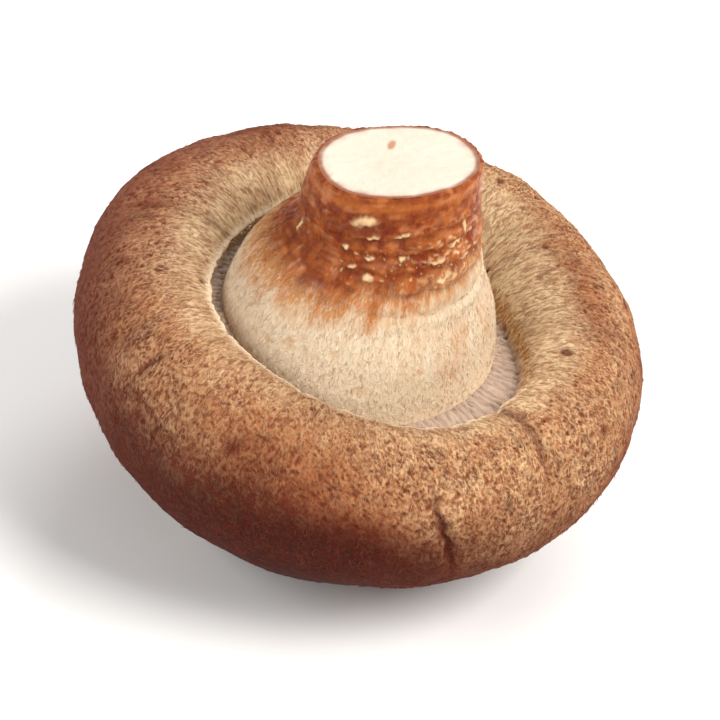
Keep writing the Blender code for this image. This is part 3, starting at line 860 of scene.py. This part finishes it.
def blend(tree, share, first, second, mode="MIX"):
    """The first colour, blended towards the second by a share."""
    node = tree.nodes.new("ShaderNodeMix")
    node.data_type = "RGBA"
    node.blend_type = mode
    for socket, value in ((node.inputs[0], share), (node.inputs[6], first), (node.inputs[7], second)):
        if isinstance(value, bpy.types.NodeSocket):
            tree.links.new(value, socket)
        elif isinstance(value, (int, float)):
            socket.default_value = value
        else:
            socket.default_value = (*value, 1)
    return node.outputs[2]


def maths(tree, operation, first, second=0.0, clamp=False):
    """The result of a Math node."""
    node = add_node(tree, "ShaderNodeMath", {0: first, 1: second}, operation=operation)
    node.use_clamp = clamp
    return node.outputs[0]


def line(tree, value, slope, start, clamp=False):
    """A mask or a socket on a straight line: slope times it, plus start."""
    value = mask_of(tree, value) if isinstance(value, str) else value
    node = add_node(tree, "ShaderNodeMath", {0: value, 1: slope, 2: start}, operation="MULTIPLY_ADD")
    node.use_clamp = clamp
    return node.outputs[0]


def product(tree, *shares):
    """All the shares times each other. Each is the name of a mask, a socket or a number."""
    total, *others = [mask_of(tree, share) if isinstance(share, str) else share for share in shares]
    for share in others:
        total = maths(tree, "MULTIPLY", total, share)
    return total


class Layers:
    """A colour with more colours laid over it, in a node tree."""

    def __init__(self, tree, colour):
        self.tree, self.colour = tree, colour

    def lay(self, colour, *shares, mode="MIX"):
        """Blends towards a colour, by the product of the shares."""
        self.colour = blend(self.tree, product(self.tree, *shares), self.colour, colour, mode)


def mask_of(tree, name):
    """A mask that the mesh carries."""
    return add_node(tree, "ShaderNodeAttribute", attribute_name=name).outputs["Fac"]


def vector_of(tree, name):
    """A vector that the mesh carries."""
    return add_node(tree, "ShaderNodeAttribute", attribute_name=name).outputs["Vector"]


def ramp(tree, value, low, high):
    """A smooth mask that is 0 at low and 1 at high."""
    node = add_node(tree, "ShaderNodeMapRange", {"Value": value}, interpolation_type="SMOOTHSTEP")
    node.inputs["From Min"].default_value = low
    node.inputs["From Max"].default_value = high
    return node.outputs["Result"]


VECTOR_INPUT = ("Vector", "NodeSocketVector", None)


def new_group(name, inputs, outputs):
    """An empty shader node group, with its named inputs and outputs."""
    group = bpy.data.node_groups.new(name, "ShaderNodeTree")
    for label, kind, default in inputs:
        socket = group.interface.new_socket(label, in_out="INPUT", socket_type=kind)
        if default is not None:
            socket.default_value = default
    for label, kind in outputs:
        group.interface.new_socket(label, in_out="OUTPUT", socket_type=kind)
    start = group.nodes.new("NodeGroupInput")
    end = group.nodes.new("NodeGroupOutput")
    return group, start.outputs, end.inputs


def fine_fibres():
    """Group: the finest fibres, as crests of a stretched noise that a second noise bends."""
    name = "fine_fibres"
    if name in bpy.data.node_groups:
        return bpy.data.node_groups[name]
    group, given, wanted = new_group(
        name,
        (VECTOR_INPUT, ("Size", "NodeSocketFloat", 0.3), ("Stretch", "NodeSocketFloat", 3.0)),
        (("Fibres", "NodeSocketFloat"), ("Gaps", "NodeSocketFloat")),
    )
    rate = maths(group, "DIVIDE", 1.0, given["Size"])
    slow = maths(group, "DIVIDE", rate, given["Stretch"])
    rates = add_node(group, "ShaderNodeCombineXYZ", {"X": rate, "Y": rate, "Z": slow}).outputs[0]
    scaled = add_node(group, "ShaderNodeVectorMath", {0: given["Vector"], 1: rates}, operation="MULTIPLY")
    bend = add_node(group, "ShaderNodeTexNoise", {"Vector": scaled.outputs[0], "Scale": 0.45, "Detail": 1.0})
    bent = add_node(
        group, "ShaderNodeVectorMath", {0: bend.outputs["Color"], 1: (1.6, 1.6, 1.6), 2: scaled.outputs[0]},
        operation="MULTIPLY_ADD",
    )
    grain = {"Vector": bent.outputs[0], "Scale": 1.0, "Detail": 2.0, "Roughness": 0.6}
    grain = add_node(group, "ShaderNodeTexNoise", grain)
    away = maths(group, "ABSOLUTE", maths(group, "SUBTRACT", grain.outputs["Fac"], 0.5))
    group.links.new(ramp(group, away, 0.11, 0.0), wanted["Fibres"])
    group.links.new(ramp(group, grain.outputs["Fac"], 0.5, 0.32), wanted["Gaps"])
    return group


def mottle():
    """Group: soft blotches of two sizes, as a mask round one half."""
    name = "mottle"
    if name in bpy.data.node_groups:
        return bpy.data.node_groups[name]
    group, given, wanted = new_group(
        name,
        (VECTOR_INPUT, ("Size", "NodeSocketFloat", 3.0), ("Contrast", "NodeSocketFloat", 1.0)),
        (("Mask", "NodeSocketFloat"),),
    )
    rate = maths(group, "DIVIDE", 1.0, given["Size"])
    large = add_node(group, "ShaderNodeTexNoise", {"Vector": given["Vector"], "Scale": rate, "Detail": 4.0})
    large.inputs["Roughness"].default_value = 0.65
    lifted = maths(group, "SUBTRACT", large.outputs["Fac"], 0.5)
    strong = maths(group, "MULTIPLY", lifted, given["Contrast"])
    group.links.new(line(group, strong, 3.0, 0.5, True), wanted["Mask"])
    return group


def grouped(tree, group, **inputs):
    """Places a node group in a material, with its inputs set or linked."""
    node = tree.nodes.new("ShaderNodeGroup")
    node.node_tree = group
    for name, value in inputs.items():
        if isinstance(value, bpy.types.NodeSocket):
            tree.links.new(value, node.inputs[name])
        else:
            node.inputs[name].default_value = value
    return node.outputs


def new_material(name):
    """A material with its node tree and its shader."""
    material = bpy.data.materials.new(name)
    material.use_nodes = True
    tree = material.node_tree
    return material, tree, tree.nodes["Principled BSDF"]


def relief_bump(tree, shader, height, distance, strength=1.0):
    """Feeds a height through a bump node into the shader's normal."""
    node = add_node(tree, "ShaderNodeBump", {"Height": height, "Distance": distance, "Strength": strength})
    tree.links.new(node.outputs["Normal"], shader.inputs["Normal"])


def cap_material(look):
    """Red-brown skin under curly tan felt, combed pale towards the lip, with cracks down to the flesh."""
    name = "cap_skin_and_felt"
    if name in bpy.data.materials:
        return bpy.data.materials[name]
    material, tree, shader = new_material(name)
    flow = vector_of(tree, "flow")
    fine = grouped(tree, fine_fibres(), Vector=flow, Size=0.22, Stretch=2.2)
    blotch = grouped(tree, mottle(), Vector=flow, Size=2.4, Contrast=0.8)["Mask"]
    small = grouped(tree, mottle(), Vector=flow, Size=0.65, Contrast=1.0)["Mask"]
    large = grouped(tree, mottle(), Vector=flow, Size=4.5, Contrast=1.9)["Mask"]
    felt, felted = mask_of(tree, "felt"), mask_of(tree, "felted")
    thread = ramp(tree, felt, 0.36, 0.66)
    threads = product(tree, line(tree, thread, 0.75, 0.12, True), line(tree, "tan", 0.9, 0.1, True))
    threads = maths(tree, "MULTIPLY", threads, line(tree, small, 0.75, 0.5), clamp=True)
    threads = maths(tree, "MULTIPLY", threads, line(tree, "streaks", 1.0, 0.45), clamp=True)
    # less felt over the painted shadow low in front
    lifted = maths(tree, "SUBTRACT", felted, product(tree, "painted_shadow", 0.6), clamp=True)
    shallow = line(tree, "beige", -0.6, 1.0)
    hole = product(tree, ramp(tree, felt, 0.42, 0.22), felted, shallow, 0.6)
    # painted shade: the groove darkens towards pit brown between the gill edges
    gills = blend(tree, line(tree, "gill", 0.3, 0.65, True), look.pit_brown, look.groove)
    broken = maths(tree, "ADD", mask_of(tree, "crack"), product(tree, fine["Gaps"], -0.3))
    # skin, felt over it, the holes and marks in the felt, and then the cracks, the groove and the lip
    layers = Layers(tree, blend(tree, blotch, look.skin_red, look.skin_brown))
    layers.lay(look.skin_orange, "orange", ramp(tree, blotch, -0.1, 0.6))
    layers.lay(look.skin_mauve, "mauve", 0.6)
    # painted shadow low down in front
    layers.lay(look.skin_painted_shadow, "painted_shadow", 0.9)
    layers.lay(look.felt_tan, threads, lifted)
    layers.lay(look.felt_beige, "beige", line(tree, thread, 0.6, 0.4))
    # pit brown and skin red over the holes, specks and dark streaks, and as painted shade along the creases
    layers.lay(look.pit_brown, maths(tree, "MAXIMUM", hole, product(tree, "specks", 0.8)))
    layers.lay(look.skin_red, "marks", 0.6)
    layers.lay(look.felt_beige, fine["Fibres"], "tan", 0.22)
    layers.lay(look.pit_brown, fine["Gaps"], shallow, 0.5)
    layers.lay((0.7, 0.57, 0.5), large, 0.55, mode="MULTIPLY")
    layers.lay(look.flesh, ramp(tree, broken, 0.25, 0.6))
    layers.lay(blend(tree, thread, look.foot_tan, look.felt_beige), "wall", 0.8)
    layers.lay(gills, "groove")
    layers.lay(look.pit_brown, "specks", 0.6)
    layers.lay(look.lip_cream, "rim", 0.95)
    tree.links.new(layers.colour, shader.inputs["Base Color"])
    tree.links.new(line(tree, felted, 0.3, 0.5), shader.inputs["Roughness"])
    shader.inputs["Specular IOR Level"].default_value = 0.1
    relief_bump(tree, shader, maths(tree, "SUBTRACT", fine["Fibres"], fine["Gaps"]), 0.00006, 0.8)
    return material


def stalk_material(look):
    """Wet red-brown stalk skin with pale scales, which thins through orange tan into cream felt."""
    name = "stalk_skin_and_felt"
    if name in bpy.data.materials:
        return bpy.data.materials[name]
    material, tree, shader = new_material(name)
    flow = vector_of(tree, "flow")
    fine = grouped(tree, fine_fibres(), Vector=flow, Size=0.15, Stretch=3.2)
    blotch = grouped(tree, mottle(), Vector=flow, Size=1.8, Contrast=1.2)["Mask"]
    felt, dark = mask_of(tree, "felt"), mask_of(tree, "dark")
    soft = line(tree, dark, -0.85, 1.0)
    # cream felt, which thins to tan and orange, and then the dark skin with its scales
    thin = Layers(tree, blend(tree, blotch, look.foot_tan, look.stalk_orange))
    thin.lay(look.foot_cream, ramp(tree, felt, 0.4, 0.75), 0.45)
    skin = Layers(tree, blend(tree, product(tree, blotch, 0.7), look.stalk_brown, look.stalk_orange))
    # painted highlight: lighter orange on the wet patches, which also carry the coat
    skin.lay(look.stalk_orange, "wet_gleam_and_painted_highlight", 0.75)
    # painted shade on the stalk's left side and under its scales, with blotches
    skin.lay(look.pit_brown, "painted_shade_and_blotches", 0.7)
    # painted highlight along the top edge, just under the cut
    skin.lay(look.stalk_orange, "painted_highlight_under_cut", 0.6)
    layers = Layers(tree, look.foot_cream)
    layers.lay(look.groove, "grey", 0.25)
    layers.lay(look.foot_tan, ramp(tree, felt, 0.45, 0.1), 0.3)
    layers.lay(look.foot_tan, "pores", 0.35)
    # painted light: the foot pales towards lip cream low down by the groove
    layers.lay(look.lip_cream, "low", 0.55)
    layers.lay(thin.colour, "skin")
    layers.lay(skin.colour, dark)
    # painted shade in the wrinkles' troughs
    layers.lay(look.pit_brown, "painted_furrow_shade", 0.7)
    layers.lay(look.scale_cream, fine["Fibres"], 0.2, soft)
    layers.lay(look.foot_tan, fine["Gaps"], 0.2, soft)
    layers.lay(look.scale_cream, "scale", line(tree, blotch, 0.5, 0.5, True))
    tree.links.new(layers.colour, shader.inputs["Base Color"])
    tree.links.new(line(tree, dark, -0.55, 0.85), shader.inputs["Roughness"])
    shader.inputs["Specular IOR Level"].default_value = 0.06
    tree.links.new(product(tree, dark, "wet_gleam_and_painted_highlight", 0.45), shader.inputs["Coat Weight"])
    shader.inputs["Coat Roughness"].default_value = 0.14
    height = product(tree, maths(tree, "SUBTRACT", fine["Fibres"], fine["Gaps"]), soft)
    relief_bump(tree, shader, height, 0.00005, 0.7)
    return material


def cut_material(look):
    """Moist cream flesh with a thin brown rim and a small rusty spot."""
    material, tree, shader = new_material("cut_flesh")
    place = add_node(tree, "ShaderNodeTexCoord").outputs["Object"]
    blotch = grouped(tree, mottle(), Vector=place, Size=0.0016, Contrast=0.8)["Mask"]
    grain = add_node(tree, "ShaderNodeTexNoise", {"Vector": place, "Scale": 2600.0, "Detail": 3.0})
    layers = Layers(tree, look.cut_cream)
    layers.lay(look.foot_tan, blotch, 0.07)
    layers.lay(look.foot_tan, "blush", 0.14)
    layers.lay(look.rust, "spot", 0.8)
    layers.lay(look.cut_rim, "edge", 0.95)
    layers.lay(look.stalk_brown, "ring", 0.3)
    tree.links.new(layers.colour, shader.inputs["Base Color"])
    shader.inputs["Roughness"].default_value = 0.6
    shader.inputs["Subsurface Weight"].default_value = 0.15
    shader.inputs["Subsurface Scale"].default_value = 0.002
    relief_bump(tree, shader, grain.outputs["Fac"], 0.00008, 0.6)
    return material


def fibre_material(name, root, tip):
    """Fine fibres that pale from root to tip."""
    material, tree, shader = new_material(name)
    share = product(tree, line(tree, "along", 1.0, 0.4, True), "pale")
    tree.links.new(blend(tree, share, root, tip), shader.inputs["Base Color"])
    shader.inputs["Roughness"].default_value = 0.8
    shader.inputs["Specular IOR Level"].default_value = 0.2
    return material


def fibre_mesh(name, roots, along, up, pale, lengths, thickness, seed):
    """Tapering three-sided fibres. Each starts at its root and bends over along the surface.

    A fibre's middle line is its root plus its length times three terms: t times its heading, t
    squared times its curl across, and t less 0.8 t squared times its lift up. A triangle that
    shrinks towards the tip is carried along it."""
    chance = np.random.default_rng(seed)
    count = len(roots)
    across = np.cross(up, along)
    swing = chance.normal(0, 0.45, count)[:, None]
    curl = chance.normal(0, 0.4, count)[:, None]
    heading = along * np.cos(swing) + across * np.sin(swing)
    lift = chance.uniform(0.02, 0.22, count)[:, None]
    rings = []
    for t, size in ((0.0, 1.0), (0.35, 0.85), (0.7, 0.6)):
        bent = t * heading + t * t * curl * across + t * (1 - 0.8 * t) * lift * up
        middle = roots + lengths[:, None] * bent
        for corner in range(3):
            turn = corner * 2 * math.pi / 3
            spoke = across * math.cos(turn) + up * math.sin(turn)
            rings.append(middle + spoke * (thickness[:, None] * size))
    tip = roots + lengths[:, None] * (heading + curl * across + 0.2 * lift * up)
    points = np.stack([*rings, tip], axis=1)
    faces = []
    for ring in (0, 3):
        for a, b in ((0, 1), (1, 2), (2, 0)):
            faces += [(ring + a, ring + b, ring + 3 + b), (ring + a, ring + 3 + b, ring + 3 + a)]
    faces += [(6, 7, 9), (7, 8, 9), (8, 6, 9)]
    corners = (np.arange(count)[:, None, None] * 10 + np.array(faces)).reshape(-1)
    mesh = build_mesh(name, points.reshape(-1, 3), corners, np.full(count * len(faces), 3))
    level = np.tile(np.repeat([0.0, 0.35, 0.7, 1.0], [3, 3, 3, 1]), count)
    for key, values in (("along", level), ("pale", np.repeat(pale, 10))):
        mesh.attributes.new(key, "FLOAT", "POINT").data.foreach_set("value", values.astype(np.float32))
    return mesh


def pick_roots(points, mask, rows, count, seed):
    """Random points of some rings, with the way down the body, the way out of it and the mask at each."""
    chance = np.random.default_rng(seed)
    normal = outward(points)
    down = np.gradient(points, axis=0)
    down /= np.maximum(np.linalg.norm(down, axis=-1, keepdims=True), 1e-15)
    row = chance.choice(rows, count)
    side = chance.integers(0, points.shape[1], count)
    pale = mask[row, side] * chance.uniform(0.5, 1, count)
    return points[row, side], down[row, side], normal[row, side], pale


class MUSHROOM_OT_cap(bpy.types.Operator):
    """Makes the cap's skin: groove and lip, rolled margin, side and cracked crown"""

    bl_idname = "mushroom.cap"
    bl_label = "Cap"

    def execute(self, context):
        scene = context.scene
        points, masks, cuts = cap_surface(scene.mushroom_shape, scene.mushroom_relief)
        normals = outward(points)
        material = cap_material(scene.mushroom_colours)
        names = ("cap_groove_and_lip", "cap_margin", "cap_side", "cap_crown")
        for name, first, last in zip(names, cuts, cuts[1:]):
            rows = slice(first, last + 1)
            ring_piece(name, points, normals, masks, rows, material, pole=name == "cap_crown")
        return {"FINISHED"}


class MUSHROOM_OT_stalk(bpy.types.Operator):
    """Makes the stalk: its dark wrinkled skin, its felted foot and the cut face"""

    bl_idname = "mushroom.stalk"
    bl_label = "Stalk"

    def execute(self, context):
        scene = context.scene
        look = scene.mushroom_colours
        points, masks, cuts = stalk_surface(scene.mushroom_shape, scene.mushroom_relief)
        normals = outward(points)
        material = stalk_material(look)
        for name, first, last in zip(("stalk_skin", "stalk_foot"), cuts, cuts[1:]):
            ring_piece(name, points, normals, masks, slice(first, last + 1), material)
        face, masks = cut_surface(scene.mushroom_shape)
        rows = slice(0, len(face))
        ring_piece("stalk_cut", face, outward(face), masks, rows, cut_material(look), pole=True)
        return {"FINISHED"}


class MUSHROOM_OT_fibres(bpy.types.Operator):
    """Lays loose fibres over the margin and the foot"""

    bl_idname = "mushroom.fibres"
    bl_label = "Fibres"

    def execute(self, context):
        scene = context.scene
        look, relief = scene.mushroom_colours, scene.mushroom_relief
        chance = np.random.default_rng(5)
        points, masks, cuts = cap_surface(scene.mushroom_shape, relief)
        rows = np.arange(30, cuts[3])  # from inside the groove to the end of the cap's side
        count = relief.margin_fibres
        # the loose fibres are darker where the painted shadow is
        pale = np.clip(0.1 + masks["tan"] - 0.6 * masks["painted_shadow"], 0, 1)
        roots = pick_roots(points, pale, rows, count, 201)
        lengths = chance.uniform(0.35, 0.95, count) * MM
        mesh = fibre_mesh("margin_fibres", *roots, lengths, chance.uniform(0.025, 0.045, count) * MM, 202)
        place_piece("margin_fibres", mesh, fibre_material("margin_fibre", look.skin_brown, look.felt_beige))
        points, masks, cuts = stalk_surface(scene.mushroom_shape, relief)
        rows = np.arange(cuts[1] + 4, len(points) - 14)  # the foot, short of its hidden end
        count = relief.foot_fibres
        roots = pick_roots(points, 1 - 0.8 * masks["skin"], rows, count, 211)
        lengths = chance.uniform(0.3, 0.7, count) * MM
        mesh = fibre_mesh("foot_fibres", *roots, lengths, chance.uniform(0.02, 0.035, count) * MM, 212)
        place_piece("foot_fibres", mesh, fibre_material("foot_fibre", look.foot_tan, look.foot_cream))
        return {"FINISHED"}


class MUSHROOM_OT_studio(bpy.types.Operator):
    """Makes the floor, the lights, the world and the camera"""

    bl_idname = "mushroom.studio"
    bl_label = "Studio"

    def execute(self, context):
        scene = context.scene
        make_floor(scene.mushroom_colours)
        for light in LIGHTS:
            add_light(*light)
        world = bpy.data.worlds.new("studio_world")
        world.use_nodes = True
        background = world.node_tree.nodes["Background"].inputs
        background["Color"].default_value = (1, 1, 1, 1)
        background["Strength"].default_value = WORLD_STRENGTH
        scene.world = world
        scene.view_settings.view_transform = "Standard"
        scene.view_settings.look = "None"
        aim_camera(scene)
        return {"FINISHED"}


def make_floor(look):
    """A round white floor just under the mushroom."""
    angle = np.arange(FLOOR_SIDES) * (2 * math.pi / FLOOR_SIDES)
    points = ring_points(angle, np.array(FLOOR_RADII)[:, None], FLOOR_LEVEL).reshape(-1, 3)
    material, tree, shader = new_material("studio_floor")
    place = add_node(tree, "ShaderNodeTexCoord").outputs["Object"]
    grain = grouped(tree, mottle(), Vector=place, Size=0.05, Contrast=0.3)["Mask"]
    lower = tuple(0.985 * value for value in look.floor)
    tree.links.new(blend(tree, grain, look.floor, lower), shader.inputs["Base Color"])
    shader.inputs["Roughness"].default_value = 0.9
    corners = ring_faces(len(FLOOR_RADII), FLOOR_SIDES)
    fan = pole_fan(len(points) - FLOOR_SIDES, len(points), FLOOR_SIDES)
    counts = np.repeat([4, 3], [len(corners), len(fan)])
    corners = np.concatenate([corners[:, ::-1].ravel(), fan[:, ::-1].ravel()])
    mesh = build_mesh("studio_floor", np.vstack([points, [0, 0, FLOOR_LEVEL]]), corners, counts)
    mesh.materials.append(material)
    floor = bpy.data.objects.new("studio_floor", mesh)
    bpy.context.scene.collection.objects.link(floor)


def add_light(name, place, size, power, tint):
    """A square soft light that looks at the mushroom."""
    data = bpy.data.lights.new(name, "AREA")
    data.size = size
    data.energy = power
    data.color = tint
    light = bpy.data.objects.new(name, data)
    light.location = place
    light.rotation_euler = (Vector((0, 0, 0.02)) - Vector(place)).to_track_quat("-Z", "Y").to_euler()
    light.visible_camera = False
    bpy.context.scene.collection.objects.link(light)


def aim_camera(scene):
    """Looks down at the mushroom from in front, rolled so that its axis leans right in the frame.

    Elevation and roll are measured from the growing frame, and the lean then turns them with it."""
    shape = scene.mushroom_shape
    along, above = math.cos(CAMERA_ELEVATION), math.sin(CAMERA_ELEVATION)
    right = np.array([math.cos(CAMERA_ROLL), math.sin(CAMERA_ROLL) * above, math.sin(CAMERA_ROLL) * along])
    back = np.array([0, -along, above])
    up = np.cross(back, right)
    lean = lean_matrix(shape)
    target = lean @ (np.array([0, 0, AIM_HEIGHT]) + AIM_RIGHT * right + AIM_UP * up) - flat_spot(shape)
    right, up, back = lean @ right, lean @ up, lean @ back
    data = bpy.data.cameras.new("camera")
    data.lens = CAMERA_LENS
    data.clip_start, data.clip_end = 0.01, 20
    camera = bpy.data.objects.new("camera", data)
    turned = Matrix(np.stack([right, up, back], axis=1).tolist())
    camera.rotation_euler = turned.to_euler()
    camera.location = target + CAMERA_DISTANCE * back
    scene.collection.objects.link(camera)
    scene.camera = camera


class MUSHROOM_PT_sidebar(bpy.types.Panel):
    """Lists the mushroom's pieces, sizes and colours"""

    bl_idname = "MUSHROOM_PT_sidebar"
    bl_label = "Mushroom"
    bl_space_type = "VIEW_3D"
    bl_region_type = "UI"
    bl_category = "Mushroom"

    def draw(self, context):
        for operator in OPERATORS:
            self.layout.operator(operator.bl_idname)
        scene = context.scene
        for group in (scene.mushroom_shape, scene.mushroom_relief, scene.mushroom_colours):
            box = self.layout.box()
            for name in group.__annotations__:
                box.prop(group, name)


OPERATORS = (MUSHROOM_OT_cap, MUSHROOM_OT_stalk, MUSHROOM_OT_fibres, MUSHROOM_OT_studio)
CLASSES = (MushroomShape, MushroomRelief, MushroomColours, *OPERATORS, MUSHROOM_PT_sidebar)


def register():
    """Adds the classes, and the mushroom's sizes and colours to the scene."""
    for made in CLASSES:
        bpy.utils.register_class(made)
    bpy.types.Scene.mushroom_shape = bpy.props.PointerProperty(type=MushroomShape)
    bpy.types.Scene.mushroom_relief = bpy.props.PointerProperty(type=MushroomRelief)
    bpy.types.Scene.mushroom_colours = bpy.props.PointerProperty(type=MushroomColours)


def unregister():
    """Takes away what register added."""
    del bpy.types.Scene.mushroom_colours
    del bpy.types.Scene.mushroom_relief
    del bpy.types.Scene.mushroom_shape
    for made in reversed(CLASSES):
        bpy.utils.unregister_class(made)


def main():
    """Makes every piece and the studio."""
    register()
    bpy.ops.mushroom.cap()
    bpy.ops.mushroom.stalk()
    bpy.ops.mushroom.fibres()
    bpy.ops.mushroom.studio()


if __name__ == "__main__":
    main()
